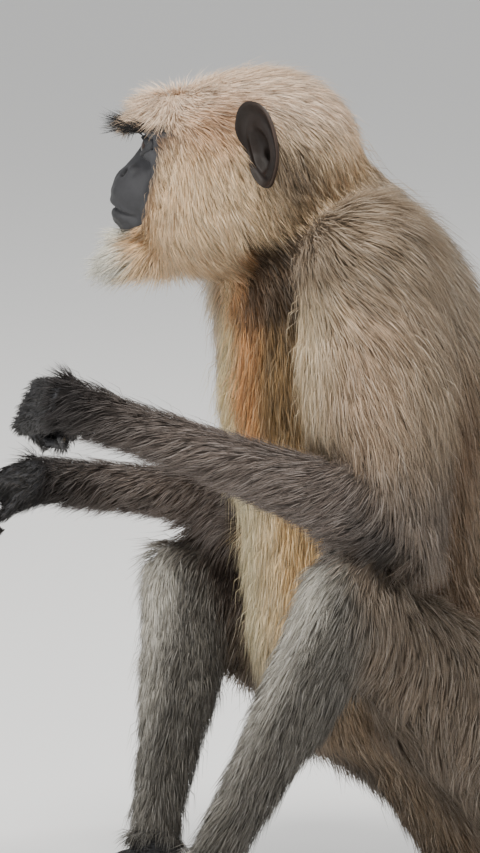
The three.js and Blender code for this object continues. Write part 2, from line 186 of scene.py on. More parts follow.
SOLIDS = {name: node_mesh(name) for name in NODES}
TREES = {name: BVHTree.FromPolygons(verts.tolist(), tris.tolist()) for name, (verts, tris) in SOLIDS.items()}


def centre(name):
    low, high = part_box(name)
    return (np.array(low) + np.array(high)) / 2


def seam(a, b):
    """The middle of the joint between two solids that meet on a cut."""
    verts = SOLIDS[a][0]
    gaps = np.array([TREES[b].find_nearest(Vector(v))[3] for v in verts])
    near = verts[gaps < gaps.min() + 2 * MM]
    return (near.min(axis=0) + near.max(axis=0)) / 2


JOINT = {}
for side in SIDES:
    JOINT[side] = {
        "elbow": seam(f"{side}_upper_arm", f"{side}_forearm"),
        "wrist": seam(f"{side}_forearm", f"{side}_hand"),
        "knee": seam(f"{side}_thigh", f"{side}_shin"),
        "ankle": seam(f"{side}_shin", f"{side}_foot"),
    }
TAIL_JOINTS = [seam("tail_1", "pelvis")]
TAIL_JOINTS += [seam(f"tail_{i}", f"tail_{i + 1}") for i in range(1, 5)]

# Head frame: from the middle between the eyes, forward, to its left, and up. In it, lengths are in mm.
EYES = {side: centre(f"{side}_eye") for side in SIDES}
EYE_RADIUS = (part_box("left_eye")[1][2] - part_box("left_eye")[0][2]) / 2 / MM
HEAD_ORIGIN = (EYES["left"] + EYES["right"]) / 2
LEFTWARD = unit(EYES["left"] - EYES["right"])
FORWARD = unit(np.cross(LEFTWARD, UP))
HEAD_AXES = np.array([FORWARD, LEFTWARD, UP])
EYE_OUT = np.linalg.norm(EYES["left"] - EYES["right"]) / 2 / MM


def to_head(points):
    return (points - HEAD_ORIGIN) @ HEAD_AXES.T / MM


def from_head(points):
    return np.asarray(points) @ HEAD_AXES * MM + HEAD_ORIGIN


# ---------------------------------------------------------------- regions of the coat
# For each region: depth of the skin below the tips (mm), length and width of a tuft (mm), its lift from the
# skin (degrees), and how densely tufts grow compared with the other regions.
COAT = {
    "head": (8, 19, 0.36, 30, 120),
    "neck": (11, 29, 0.44, 24, 62),
    "chest": (11, 29, 0.46, 28, 52),
    "belly": (10, 27, 0.5, 26, 38),
    "pelvis": (9, 25, 0.62, 26, 25),
    "upper_arm": (8, 33, 0.42, 23, 74),
    "forearm": (5, 19, 0.42, 24, 74),
    "hand": (0.5, 9, 0.42, 20, 90),
    "thigh": (9, 25, 0.52, 26, 38),
    "shin": (6, 21, 0.44, 23, 62),
    "foot": (0.4, 7.5, 0.42, 17, 95),
    "tail": (3.5, 14, 0.46, 19, 46),
    "face": (8, 19, 0.36, 30, 120),
}
TUFTS = 242000
PIECE_LIMIT = 32500
GROUPS = {
    "head": ("head", "face", "neck"),
    "trunk": ("chest", "belly", "pelvis"),
    "arms": ("upper_arm", "forearm", "hand"),
    "legs": ("thigh", "shin", "foot"),
    "tail": ("tail",),
}
FLESH = [name for name in NODES if not name.endswith(("_eye", "_ear"))]


def region_of(node):
    return node.removeprefix("left_").removeprefix("right_").rstrip("_12345")


def by_region(shares, column):
    return shares @ np.array([COAT[region_of(name)][column] for name in FLESH], dtype=float)


def region_share(shares, *regions):
    return shares[:, [k for k, name in enumerate(FLESH) if region_of(name) in regions]].sum(axis=1)


# The bare face, as half widths at heights in the head frame.
FACE_HEIGHTS = (-51, -48, -40, -25, -12, 0, 9, 14)
FACE_HALF_WIDTHS = (2, 14, 22, 24.5, 28, 31.5, 30, 20)
FACE_LIMITS = {"top": 12, "bottom": -50, "back": -12}
FACE_BLEND = 12


def face_gap(head):
    """How far outside the bare face a point lies: negative on it."""
    f, l, u = head.T
    half = np.interp(u, FACE_HEIGHTS, FACE_HALF_WIDTHS)
    above, below = u - FACE_LIMITS["top"], FACE_LIMITS["bottom"] - u
    return np.maximum.reduce([np.abs(l) - half, above, below, FACE_LIMITS["back"] - f])


# ---------------------------------------------------------------- hands and feet
# The way each hand points and its palm faces, and each foot's turn in degrees.
HAND_LIE = {"left": ((-0.96, -0.1, -0.15), (0.2, 0.9, -0.5)), "right": ((0.16, -0.93, -0.08), (0, 0.2, -1))}
FOOT_TURN = {"left": 8, "right": -6}
# Fingers: how far across the palm, length compared with the longest, and extra curl in degrees.
FINGERS = ((-11.6, 0.86, 6), (-3.9, 0.98, 0), (3.9, 1.0, -4), (11.6, 0.92, -9))
PHALANGES = (24, 17, 13)
CURL = (60, 148, 212)
FINGER_RADII = (4.3, 3.7, 3.3, 2.7)
PALM_LENGTH = 43
TOES = ((-9, 36), (-0.5, 41), (8.5, 38), (17, 33))
TOE_RADII = (4.6, 3.9, 3.4, 2.7)
BALL = 82
NAIL = (3.1, 2.1, 0.8)


def hand_frame(side):
    """A way to place points: along the back of the hand, towards the palm, across to the thumb's side."""
    way, palm = (np.array(v, dtype=float) for v in HAND_LIE[side])
    x = unit(way)
    y = unit(palm - x * (palm @ x))
    z = np.cross(x, y) * -SIDES[side]
    wrist = JOINT[side]["wrist"]
    return (lambda along, palmward, across: wrist + (x * along + y * palmward + z * across) * MM), x, y


def foot_frame(side):
    """A way to place points: forward under the ankle, out to the outer side, and up from the floor."""
    turn = math.radians(FOOT_TURN[side])
    x = np.array([math.sin(turn), -math.cos(turn), 0])
    y = np.array([math.cos(turn), math.sin(turn), 0]) * SIDES[side]
    ankle = JOINT[side]["ankle"] * [1, 1, 0]
    return (lambda forward, out, up: ankle + (x * forward + y * out + UP * up) * MM), x


def finger(place, across, size, extra):
    """The joints of one finger, and the way its back faces at the tip, as along and palmward shares."""
    along, palmward = PALM_LENGTH * (0.88 + 0.12 * size), 0.0
    joints = [place(along, palmward, across)]
    for bone, curl in zip(PHALANGES, CURL):
        turn = math.radians(curl + extra)
        along += math.cos(turn) * bone * size
        palmward += math.sin(turn) * bone * size
        joints.append(place(along, palmward, across))
    return joints, (math.sin(turn), -math.cos(turn))


def hand_and_foot_rods():
    """Tapered round rods for palms, fingers, soles and toes, with a nail for every digit."""
    rods, nails = [], []
    for side in SIDES:
        place, x, y = hand_frame(side)
        rods.append((place(-9, 0, 0), place(12, 1, 0), 14, 12.5))
        rods.append((place(6, 4, 7), place(22, 8, 12), 8, 6.5))
        for across, size, extra in FINGERS:
            joints, (back_x, back_y) = finger(place, across, size, extra)
            rods.append((place(2, 0, across * 0.6), joints[0], 8, 6.2))
            rods += chain(joints, FINGER_RADII)
            nails.append((joints[-1], joints[-1] - joints[-2], x * back_x + y * back_y, FINGER_RADII[-1]))
        thumb = [place(14, 6, 10), place(28, 12, 16), place(41, 18, 15)]
        rods += chain(thumb, (4.6, 4.0, 2.9))
        nails.append((thumb[-1], thumb[-1] - thumb[-2], -y, 2.9))
        place, x = foot_frame(side)
        rods.append((place(0, 0, JOINT[side]["ankle"][2] / MM + 8), place(-2, 0, 18), 14.5, 13.5))
        rods.append((place(-14, 0, 11.5), place(12, 0, 15), 12, 14))
        for out in (-1, 0, 1):
            rods.append((place(10, out * 7, 14), place(BALL - 2, out * 14 + 3, 9.5), 11.5, 9.4))
        for out, length in TOES:
            toe = [place(BALL - 6, out, 8.5), place(BALL + length * 0.35, out * 1.17, 10)]
            toe += [place(BALL + length * 0.72, out * 1.28, 7.5), place(BALL + length, out * 1.32, 4.2)]
            rods += chain(toe, TOE_RADII)
            nails.append((toe[-1], toe[-1] - toe[-2], UP, TOE_RADII[-1]))
        toe = [place(20, -10, 10.5), place(44, -23, 10.5), place(62, -30, 7.5), place(75, -31, 4.6)]
        rods += chain(toe, (8.5, 6, 4.6, 3.1))
        nails.append((toe[-1], toe[-1] - toe[-2], UP, 3.1))
    return rods, nails


def chain(joints, radii):
    return list(zip(joints[:-1], joints[1:], radii[:-1], radii[1:]))


def rod_mesh(start, end, start_radius, end_radius):
    """A closed rod with round ends."""
    count, steps = 14, 5
    way = unit(end - start)
    side = unit(np.cross(way, [0.3, 0.5, 0.81]))
    other = np.cross(way, side)
    turn = np.linspace(0, 2 * math.pi, count, endpoint=False)
    ring = np.outer(np.cos(turn), side) + np.outer(np.sin(turn), other)
    rings = []
    for middle, radius, first, last in ((start, start_radius, -89, 0), (end, end_radius, 0, 89)):
        for tilt in np.radians(np.linspace(first, last, steps)):
            rings.append(middle + (ring * math.cos(tilt) + way * math.sin(tilt)) * radius * MM)
    tris = ring_tris(len(rings), count)
    last = (len(rings) - 1) * count
    caps = [(0, i + 1, i) for i in range(1, count - 1)]
    caps += [(last, last + i, last + i + 1) for i in range(1, count - 1)]
    return np.concatenate(rings), np.concatenate([tris, np.array(caps)])


def nail_meshes(nails):
    """A thin domed nail on the back of each digit's tip."""
    round_verts, round_tris = round_ball(3, 1)
    verts, tris = [], []
    for tip, way, back, radius in nails:
        way = unit(way)
        back = unit(back - way * (back @ way))
        across = np.cross(way, back)
        middle = tip + (back * radius * 0.82 + way * 0.4) * MM
        plate = round_verts * NAIL * MM
        plate[:, 2] -= (round_verts[:, 1] ** 2) * 0.9 * MM
        tris.append(round_tris + len(verts) * len(round_verts))
        verts.append(middle + plate @ np.array([way, across, back]))
    return np.concatenate(verts), np.concatenate(tris)


# ---------------------------------------------------------------- skin
# The fold of skin between the belly and the top of the right thigh: its ends and radii.
GROIN_FOLD = (np.array([-0.1, -0.136, 0.192]), np.array([-0.042, -0.122, 0.204]), 19, 20)
VOXEL = 1.4 * MM
SWELL = 0.6 * MM
COARSE_SHARE = 0.22
FINE_PARTS = ("face", "left_hand", "right_hand", "left_foot", "right_foot")
LID_BALL = 1.2


def flesh_mesh():
    """Every solid of flesh a little swollen, so that the cuts close, in one closed surface."""
    verts, tris, count = [], [], 0
    for name in FLESH:
        if region_of(name) in ("hand", "foot"):
            continue
        v, t = SOLIDS[name]
        mesh = mesh_of("swollen", v, t)
        normals = np.empty(len(v) * 3, dtype=np.float32)
        mesh.vertex_normals.foreach_get("vector", normals)
        verts.append(v + normals.reshape(-1, 3) * SWELL)
        tris.append(t + count)
        count += len(v)
        bpy.data.meshes.remove(mesh)
    for rod in hand_and_foot_rods()[0] + [GROIN_FOLD]:
        v, t = rod_mesh(*rod)
        verts.append(v)
        tris.append(t + count)
        count += len(v)
    for eye in EYES.values():
        v, t = round_ball(4, (EYE_RADIUS + LID_BALL) * MM)
        verts.append(v + eye)
        tris.append(t + count)
        count += len(v)
    piece = new_object("flesh", mesh_of("flesh", np.concatenate(verts), np.concatenate(tris)))
    remesh = piece.modifiers.new("one_surface", "REMESH")
    remesh.mode = "VOXEL"
    remesh.voxel_size = VOXEL
    apply_modifiers(piece)
    coarsen(piece)
    return piece


def round_ball(subdivisions, radius):
    """(vertices, triangles) of a ball."""
    ball = bmesh.new()
    bmesh.ops.create_icosphere(ball, subdivisions=subdivisions, radius=radius)
    verts = np.array([v.co[:] for v in ball.verts])
    tris = np.array([[v.index for v in f.verts] for f in ball.faces])
    ball.free()
    return verts, tris


def apply_modifiers(piece):
    mesh = bpy.data.meshes.new_from_object(piece.evaluated_get(bpy.context.evaluated_depsgraph_get()))
    piece.modifiers.clear()
    piece.data = mesh


def coarsen(piece):
    """Fewer triangles under the coat, and as many as before on the face, hands and feet."""
    verts = np.empty(len(piece.data.vertices) * 3, dtype=np.float32)
    piece.data.vertices.foreach_get("co", verts)
    verts = verts.reshape(-1, 3)
    fine = np.zeros(len(verts), dtype=bool)
    for name in FINE_PARTS:
        low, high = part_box(name)
        fine |= ((verts > np.array(low) - 2 * MM) & (verts < np.array(high) + 2 * MM)).all(axis=1)
    group = piece.vertex_groups.new(name="coated")
    group.add(np.flatnonzero(~fine).tolist(), 1.0, "REPLACE")
    fewer = piece.modifiers.new("fewer", "DECIMATE")
    fewer.ratio = COARSE_SHARE
    fewer.vertex_group = "coated"
    fewer.vertex_group_factor = 10
    apply_modifiers(piece)
    piece.vertex_groups.clear()


# How much larger each step out is than the step in before it, where a surface settles.
STEP_OUT = 1.04


class Surface:
    """A mesh held as arrays, with each vertex's neighbours for smoothing."""

    def __init__(self, mesh):
        n = len(mesh.vertices)
        self.verts = np.empty(n * 3, dtype=np.float32)
        mesh.vertices.foreach_get("co", self.verts)
        self.verts = self.verts.reshape(-1, 3).astype(float)
        edges = np.empty(len(mesh.edges) * 2, dtype=np.int32)
        mesh.edges.foreach_get("vertices", edges)
        edges = edges.reshape(-1, 2)
        self.a = np.concatenate([edges[:, 0], edges[:, 1]])
        self.b = np.concatenate([edges[:, 1], edges[:, 0]])
        self.degree = np.bincount(self.a, minlength=n).astype(float)
        self.mesh = mesh

    def mean_of_neighbours(self, values):
        columns = values.reshape(len(values), -1)
        summed = [np.bincount(self.a, columns[self.b, k], len(values)) for k in range(columns.shape[1])]
        return (np.stack(summed, axis=1) / self.degree[:, None]).reshape(values.shape)

    def smooth(self, values, rounds, strength=0.5):
        """strength is one number, or one for each vertex."""
        weight = np.asarray(strength, dtype=float)
        if weight.ndim and values.ndim > 1:
            weight = weight[:, None]
        for _ in range(rounds):
            values = values + weight * (self.mean_of_neighbours(values) - values)
        return values

    def settle(self, rounds, strength):
        """Smooths the surface without letting it shrink: a slightly larger step out follows each step in."""
        for _ in range(rounds):
            self.verts = self.smooth(self.verts, 1, strength)
            self.verts = self.smooth(self.verts, 1, -STEP_OUT * strength)

    def normals(self):
        """Writes the positions to the mesh, and gives its normals there."""
        self.mesh.vertices.foreach_set("co", self.verts.astype(np.float32).ravel())
        self.mesh.update()
        normals = np.empty(len(self.verts) * 3, dtype=np.float32)
        self.mesh.vertex_normals.foreach_get("vector", normals)
        return normals.reshape(-1, 3).astype(float)


def node_weights(surface):
    """A smooth share of each solid at each vertex."""
    verts, tris, owner, count = [], [], [], 0
    for k, name in enumerate(FLESH):
        v, t = SOLIDS[name]
        verts += v.tolist()
        tris += (t + count).tolist()
        owner += [k] * len(t)
        count += len(v)
    tree = BVHTree.FromPolygons(verts, tris)
    index = np.array([owner[tree.find_nearest(p)[2]] for p in surface.verts.tolist()])
    shares = np.zeros((len(index), len(FLESH)))
    shares[np.arange(len(index)), index] = 1
    return surface.smooth(shares, 12)


def refine_face(piece, shares):
    """Splits the face finer, for the lids, lips and nostrils. Returns the shares carried over."""
    tree = KDTree(len(shares))
    for i, v in enumerate(piece.data.vertices):
        tree.insert(v.co, i)
    tree.balance()
    head = to_head(Surface(piece.data).verts)
    inside = (face_gap(head) < 5) & (head[:, 0] > -14)
    mesh = bmesh.new()
    mesh.from_mesh(piece.data)
    mesh.verts.ensure_lookup_table()
    edges = [e for e in mesh.edges if inside[e.verts[0].index] and inside[e.verts[1].index]]
    bmesh.ops.subdivide_edges(mesh, edges=edges, cuts=1, use_grid_fill=True)
    mesh.to_mesh(piece.data)
    mesh.free()
    return shares[[tree.find(v.co)[1] for v in piece.data.vertices]]


# ---------------------------------------------------------------- the face
# Each form: middle and radii in the head frame, and how far it stands out of the skin or sinks into it.
FORMS = (
    ((14, 13, 12), (13, 18, 6.5), 3.0),
    ((3, 25, -4), (10, 8, 9), 1.0),
    ((10, 7, 2), (8, 4, 7), -1.4),
    ((24, 0, -17), (8, 5, 6), 1.0),
    ((30, 0, -28), (8, 1.8, 5), -0.7),
    ((27, 12, -27), (12, 8, 8), 1.0),
    ((20, 11, -14), (8, 4, 7), -1.0),
)
# The lower rear edge of the ruff: middle and radii in the head frame, and how far it is drawn up.
RUFF_EDGE = ((-66, 42, -72), (34, 36, 24), 8.0)
# The front of the face at the middle, from the bridge of the nose to the chin: height, and how far forward.
PROFILE = (
    (-66, 29),
    (-60, 27),
    (-54, 24.5),
    (-49, 25),
    (-45, 28.5),
    (-41, 29.5),
    (-36, 28),
    (-31, 30),
    (-26, 30),
    (-20, 28),
    (-17, 25.5),
    (-8, 18.5),
    (0, 12.8),
    (4, 10.5),
    (8, 10.5),
)
PROFILE_STEP = 1.5
APERTURE = {"half_width": 7.6, "up": 4.3, "down": 3.6, "slant": 0.14}
# Profile of a lid from its inner edge out: share of the opening's size, and mm above the eyeball.
LID_PROFILE = ((0.96, 0.1), (0.97, 1.1), (1.03, 1.9), (1.16, 2.0), (1.34, 1.5), (1.6, 0.6), (1.85, -1.0))
LID_POINTS = 48
# The socket behind the lids: its edge as a share of the opening, its depth in mm under the eyeball's surface,
# and how many mm the skin round it stands over that surface.
SOCKET = {"edge": 1.3, "depth": 2.5, "cover": 0.8}
NOSTRIL = {"place": (20.5, 8.0, -15.5), "radii": (5.5, 4.2, 3.4), "depth": 5.4, "wing": 2.2}
MOUTH = {"front_height": -35.5, "corner": (14, 17, -41), "lip": 1.0, "groove": 1.5}


def lid_ring(share, height):
    """Points round an eye's opening, in mm across and up, at a share of its size."""
    angle = np.linspace(0, 2 * math.pi, LID_POINTS, endpoint=False)
    across = np.cos(angle) * APERTURE["half_width"] * share
    lift = np.where(np.sin(angle) > 0, APERTURE["up"], APERTURE["down"]) * share
    up = np.sign(np.sin(angle)) * np.abs(np.sin(angle)) ** 1.15 * lift + APERTURE["slant"] * across
    out = np.stack([np.sqrt(np.maximum(EYE_RADIUS**2 - across**2 - up**2, 1)), across, up], axis=1)
    return unit(out) * height


def lids():
    """The rolled margins of both eyes' lids, as (vertices, triangles)."""
    verts, tris = [], []
    for sign in SIDES.values():
        rings = [lid_ring(share, EYE_RADIUS + height) * (1, sign, 1) for share, height in LID_PROFILE]
        rings = [ring + (0, sign * EYE_OUT, 0) for ring in rings]
        tris.append(ring_tris(len(rings), len(rings[0]), flip=sign > 0) + sum(len(v) for v in verts))
        verts.append(np.concatenate(rings))
    return from_head(np.concatenate(verts)), np.concatenate(tris)


def ring_tris(rows, count, flip=False):
    """Triangles between successive rings of points."""
    i = np.arange(count)
    j = (i + 1) % count
    quads = []
    for row in range(rows - 1):
        a, b, c, d = row * count + i, row * count + j, (row + 1) * count + j, (row + 1) * count + i
        quads += [np.stack([a, b, c], axis=1), np.stack([a, c, d], axis=1)]
    tris = np.concatenate(quads)
    return tris[:, ::-1] if flip else tris


def fit_profile(surface):
    """Moves the middle of the face to the profile, and its sides less the further out they lie."""
    head = to_head(surface.verts)
    f, l, u = head.T
    heights, wanted = np.array(PROFILE).T
    levels = np.arange(heights[0], heights[-1], PROFILE_STEP)
    middle = (np.abs(l) < 2.5) & (f > 0)
    found = np.array([f[middle & (np.abs(u - level) < 1.2)].max() for level in levels])
    shift = np.interp(u, levels, np.interp(levels, heights, wanted) - found)
    inside = smoothstep(heights[0] - 8, heights[0], u) * (1 - smoothstep(heights[-1], heights[-1] + 6, u))
    head[:, 0] += shift * inside * (1 - smoothstep(5, 26, np.abs(l))) * smoothstep(-5, 8, f)
    surface.verts = from_head(head)


def sculpt_face(surface):
    """Brows, nose, nostrils, lips and the openings of the eyes."""
    head = to_head(surface.verts)
    normals = surface.normals() @ HEAD_AXES.T
    for middle, radii, height in FORMS:
        for sign in (1, -1) if middle[1] else (1,):
            head = head + normals * (mound(head, np.array(middle) * (1, sign, 1), radii) * height)[:, None]
    middle, radii, rise = RUFF_EDGE
    head[:, 2] += mound(head * (1, 0, 1) + np.outer(np.abs(head[:, 1]), (0, 1, 0)), middle, radii) * rise
    for sign in (1, -1):
        place = np.array(NOSTRIL["place"]) * (1, sign, 1)
        pit = mound(head, place, NOSTRIL["radii"])
        wing = mound(head, place + np.array([-3.5, sign * 3, 1]), (9, 5, 6)) * (1 - pit)
        head = head + normals * (wing * NOSTRIL["wing"] - pit * NOSTRIL["depth"])[:, None]
    front_u = MOUTH["front_height"]
    corner_f, corner_l, corner_u = MOUTH["corner"]
    share = np.abs(head[:, 1]) / corner_l
    off = head[:, 2] - front_u - (corner_u - front_u) * share**2
    ahead = smoothstep(corner_f - 8, corner_f + 2, head[:, 0]) * (1 - smoothstep(0.75, 1.05, share))
    groove = np.exp(-((off / 0.9) ** 2))
    lips = np.exp(-(((off - 3.0) / 2.2) ** 2)) + np.exp(-(((off + 3.2) / 2.4) ** 2))
    head = head + normals * ((lips * MOUTH["lip"] - groove * MOUTH["groove"]) * ahead)[:, None]
    for sign in (1, -1):
        ray = head - (0, sign * EYE_OUT, 0)
        reach = np.linalg.norm(ray, axis=1)
        out = ray / reach[:, None]
        across = out[:, 1] * sign * EYE_RADIUS
        up = out[:, 2] * EYE_RADIUS - APERTURE["slant"] * across
        tall = np.where(up > 0, APERTURE["up"], APERTURE["down"])
        opening = np.hypot(across / APERTURE["half_width"], up / tall)
        behind = (reach < EYE_RADIUS * 1.5) & (out[:, 0] > 0.1) & (opening < SOCKET["edge"])
        head[behind] = out[behind] * (EYE_RADIUS - SOCKET["depth"]) + (0, sign * EYE_OUT, 0)
        shallow = (reach < EYE_RADIUS + SOCKET["cover"]) & (opening >= SOCKET["edge"])
        head[shallow] = out[shallow] * (EYE_RADIUS + SOCKET["cover"]) + (0, sign * EYE_OUT, 0)
    surface.verts = from_head(head)


def build_skin():
    """(piece, surface, shares): the flesh as one skin, sunk by the depth of the coat, its face sculpted."""
    piece = flesh_mesh()
    surface = Surface(piece.data)
    shares = node_weights(surface)
    fine = np.clip(region_share(shares, "hand", "foot") * 1.4, 0, 1)
    heads = np.clip(region_share(shares, "head", "face") * 1.4, 0, 1)
    surface.settle(36, 0.6 * heads)
    surface.verts = surface.smooth(surface.verts, 22, 0.5 * (1 - np.maximum(fine, heads)))
    surface.settle(4, 0.5 * fine)
    neck = np.clip(region_share(shares, "neck") * 3, 0, 1) * (1 - heads)
    surface.verts = surface.smooth(surface.verts, 50, 0.5 * surface.smooth(neck, 10))
    depth = by_region(shares, 0) * smoothstep(-1, FACE_BLEND, face_gap(to_head(surface.verts))) * MM
    surface.verts = surface.verts - surface.normals() * depth[:, None]
    surface.verts = surface.smooth(surface.verts, 5, 0.5 * (1 - fine))
    surface.normals()
    shares = refine_face(piece, shares)
    surface = Surface(piece.data)
    near_face = (face_gap(to_head(surface.verts)) < 8).astype(float)
    surface.verts = surface.smooth(surface.verts, 8, 0.5 * near_face)
    fit_profile(surface)
    sculpt_face(surface)
    surface.settle(2, 0.5 * near_face)
    surface.verts[:, 2] = np.maximum(surface.verts[:, 2], 0.2 * MM)
    surface.normals()
    return piece, surface, shares


# ---------------------------------------------------------------- ears
# Profile of an ear from the hollow to the rolled rim and down its back: share of the way to the edge, mm out.
EAR_PROFILE = ((0.0, -7), (0.22, -6.5), (0.4, -4.5), (0.52, -1.6), (0.6, -0.6), (0.7, -1.6), (0.82, -0.9))
EAR_PROFILE += ((0.92, 0.8), (0.98, 2.2), (1.02, 2.6), (1.05, 1.6), (1.03, -0.2), (0.92, -2.4), (0.7, -4.6))
EAR_PROFILE += ((0.5, -9), (0.42, -16))
EAR_HOLLOW = (0.02, -0.3)
EAR_STALK = (-0.5, -0.1)
EAR_RIM_ROW = 11
EAR_COUNT = 56
EAR_SIZE = (14, 23.5)
EAR_LEAN = 0.36
EAR_SHIFT = 0.24
EAR_TUCK = 11
EAR_REACH = 55 * MM


def ear_frame(side):
    """An ear's middle in the head frame, and the level ways to its rear and out of its hollow."""
    points = to_head(SOLIDS[f"{side}_ear"][0])
    middle = points.mean(axis=0)
    flat = points[:, :2] - middle[:2]
    wide = np.linalg.eigh(flat.T @ flat)[1][:, 1]
    wide = wide * -np.sign(wide[0])
    outward = np.array([wide[1], -wide[0]])
    return middle, wide, outward * np.sign(outward[1]) * SIDES[side]


def clear_of_ears(shape):
    """Whether each tuft misses the ears, from its root to its tip."""
    clear = np.ones(len(shape), dtype=bool)
    for side in SIDES:
        verts, tris = ear(side)
        tree = BVHTree.FromPolygons(verts.tolist(), tris.tolist())
        near = np.linalg.norm(shape[:, 0] - verts.mean(axis=0), axis=1) < EAR_REACH
        for i in np.flatnonzero(near):
            root, bend, tip = Vector(shape[i, 0]), Vector(shape[i, 2]), Vector(shape[i, 4])
            steps = ((root, bend - root), (bend, tip - bend))
            clear[i] = all(tree.ray_cast(start, step, step.length)[0] is None for start, step in steps)
    return clear


def ear(side):
    """An ear shaped like a cup, with a rolled rim and an inner ridge, standing where its solid stands."""
    middle, wide, outward = ear_frame(side)
    angle = np.linspace(0, 2 * math.pi, EAR_COUNT, endpoint=False)
    back = np.sign(np.cos(angle)) * np.abs(np.cos(angle)) ** 0.85
    rise = np.sign(np.sin(angle)) * np.abs(np.sin(angle)) ** 0.93
    narrow = 1 - 0.3 * smoothstep(0.1, 1, -rise)
    rear = smoothstep(-0.5, 0.4, back)
    rings = []
    for row, (share, out) in enumerate(EAR_PROFILE):
        inner_w, inner_h = EAR_HOLLOW if row < EAR_RIM_ROW else EAR_STALK
        w = inner_w * (1 - share) + back * share * narrow - EAR_LEAN * rise * share + EAR_SHIFT
        h = inner_h * (1 - share) + rise * share
        ridge = np.exp(-(((share - 0.58) / 0.09) ** 2)) * 2.2 * rear
        roll = (0.6 * rear - 0.4) * (share > 0.85)
        low_front = smoothstep(0, 1, -w) * smoothstep(-0.4, 0.5, -h)
        n = out + ridge + roll + 1.5 * w * w - EAR_TUCK * low_front
        level = middle[:2] + np.outer(w * EAR_SIZE[0], wide) + np.outer(n, outward)
        rings.append(np.column_stack([level, middle[2] + h * EAR_SIZE[1]]))
    return from_head(np.concatenate(rings)), ring_tris(len(rings), EAR_COUNT, flip=side == "right")


# ---------------------------------------------------------------- the lie of the coat
def head_flow(points):
    """Forward over the brow, back over the crown, down and back over the cheeks, forward on the chin."""
    f, l, u = to_head(points).T
    crown = np.maximum(smoothstep(-2, 26, u), smoothstep(8, 13, u) * smoothstep(-25, -5, f))
    brow = smoothstep(-22, 8, f) * smoothstep(8, 13, u)
    chin = smoothstep(-14, 12, f) * (1 - smoothstep(-48, -30, u))
    ruff = smoothstep(-30, -80, f)
    forward = crown * (2 * brow - 1) + (1 - crown) * (1.1 * chin - (0.36 + 0.3 * ruff) * (1 - chin))
    parting = np.exp(-(((f + 7) / 10) ** 2)) * crown
    outward = np.sign(l) * smoothstep(0, 22, np.abs(l)) * 0.4 * (1 - 0.6 * chin)
    outward = outward + (2 * smoothstep(-38, -28, l) - 1) * 0.9 * parting
    upward = crown * (0.12 - 0.5 * brow * (1 - smoothstep(16, 30, u))) - (1 - crown)
    upward = upward + 0.7 * chin * smoothstep(-64, -50, u)
    return np.stack([forward, outward, upward], axis=1) @ HEAD_AXES


def drape(points, down):
    """Out and back over the shoulders and the nape, turning to hang the given way lower down."""
    high = smoothstep(0.30, 0.37, points[:, 2:])
    out = np.clip(points[:, :1] / 0.05, -1, 1)
    over = np.concatenate([0.6 * out, np.full_like(out, 0.7), np.full_like(out, -0.5)], axis=1)
    return unit(over) * high + unit(down) * (1 - high)


def node_flow(name, points):
    region = region_of(name)
    if region in ("head", "face"):
        return head_flow(points)
    if region in ("neck", "chest", "belly", "pelvis"):
        return drape(points, unit(points - centre(name)) * [0.3, 0.2, 0] + [0, 0.12, -1])
    if region == "tail":
        part = int(name[-1])
        end = TAIL_JOINTS[part] if part < len(TAIL_JOINTS) else centre("tail_5") * 2 - TAIL_JOINTS[-1]
        return np.tile(end - TAIL_JOINTS[part - 1], (len(points), 1))
    joint = JOINT[name.split("_")[0]]
    if region == "upper_arm":
        down_arm = unit(joint["elbow"] - centre(name)) + [0, 0.2, -0.35]
        return drape(points, np.tile(down_arm, (len(points), 1)))
    lies = {
        "forearm": unit(joint["wrist"] - joint["elbow"]) - UP * 0.75,
        "hand": centre(name) - joint["wrist"],
        "thigh": unit(joint["knee"] - centre("pelvis")) - UP * 2.4,
        "shin": joint["ankle"] - joint["knee"],
        "foot": (centre(name) - joint["ankle"]) * [1, 1, 0],
    }
    return np.tile(lies[region], (len(points), 1))


def flow_field(surface, shares):
    flow = sum(shares[:, k : k + 1] * unit(node_flow(name, surface.verts)) for k, name in enumerate(FLESH))
    normals = surface.normals()
    for _ in range(3):
        flow = unit(flow - normals * (flow * normals).sum(axis=1, keepdims=True))
        flow = surface.smooth(flow, 16)
    return unit(flow - normals * (flow * normals).sum(axis=1, keepdims=True)), normals


# ---------------------------------------------------------------- markings
PAINT = {
    "crown": "#f7dcc0",
    "cheek": "#ffdfb4",
    "golden": "#d6ab7a",
    "chin": "#f1ecdc",
    "temple": "#a87a53",
    "behind_ear": "#716151",
    "throat_shadow": "#3f3023",
    "nape": "#ac9e8c",
    "back": "#937f69",
    "flank": "#56391f",
    "arm_sunlit_front": "#fbe6c0",
    "arm": "#b79d83",
    "arm_back": "#9a8771",
    "arm_low": "#6a5e53",
    "groin_shadow": "#3a2f27",
    "chest_rim_light": "#f8e4b4",
    "chest_tan": "#cf955f",
    "chest_shade": "#8e714b",
    "belly": "#fff0c8",
    "belly_side": "#ecc68e",
    "elbow": "#2f2b28",
    "forearm": "#665b54",
    "wrist": "#1f1b1a",
    "shin": "#5f5b54",
    "shin_front": "#dcd6c8",
    "thigh": "#706355",
    "tail": "#877868",
    "tail_tip": "#b9ac98",
    "hand": "#1a1817",
    "foot": "#1a1817",
    "bristle": "#171514",
    "face_edge": "#7d6552",
    "skin": "#313133",
    "ear_skin": "#1a120d",
    "sclera": "#1f1712",
    "iris": "#321c0f",
    "nostril": "#050404",
    "pupil": "#050404",
}
PAINT = {name: colour(code) for name, code in PAINT.items()}


# The upper edge of the painted shade in the hollow of the neck, under the ruff: how far forward, and how
# high.
HOLLOW_FORWARD = (-100, -93, -80, -64, -51, -40, -30)
HOLLOW_TOP = (-30, -33, -38, -42, -43, -54, -66)


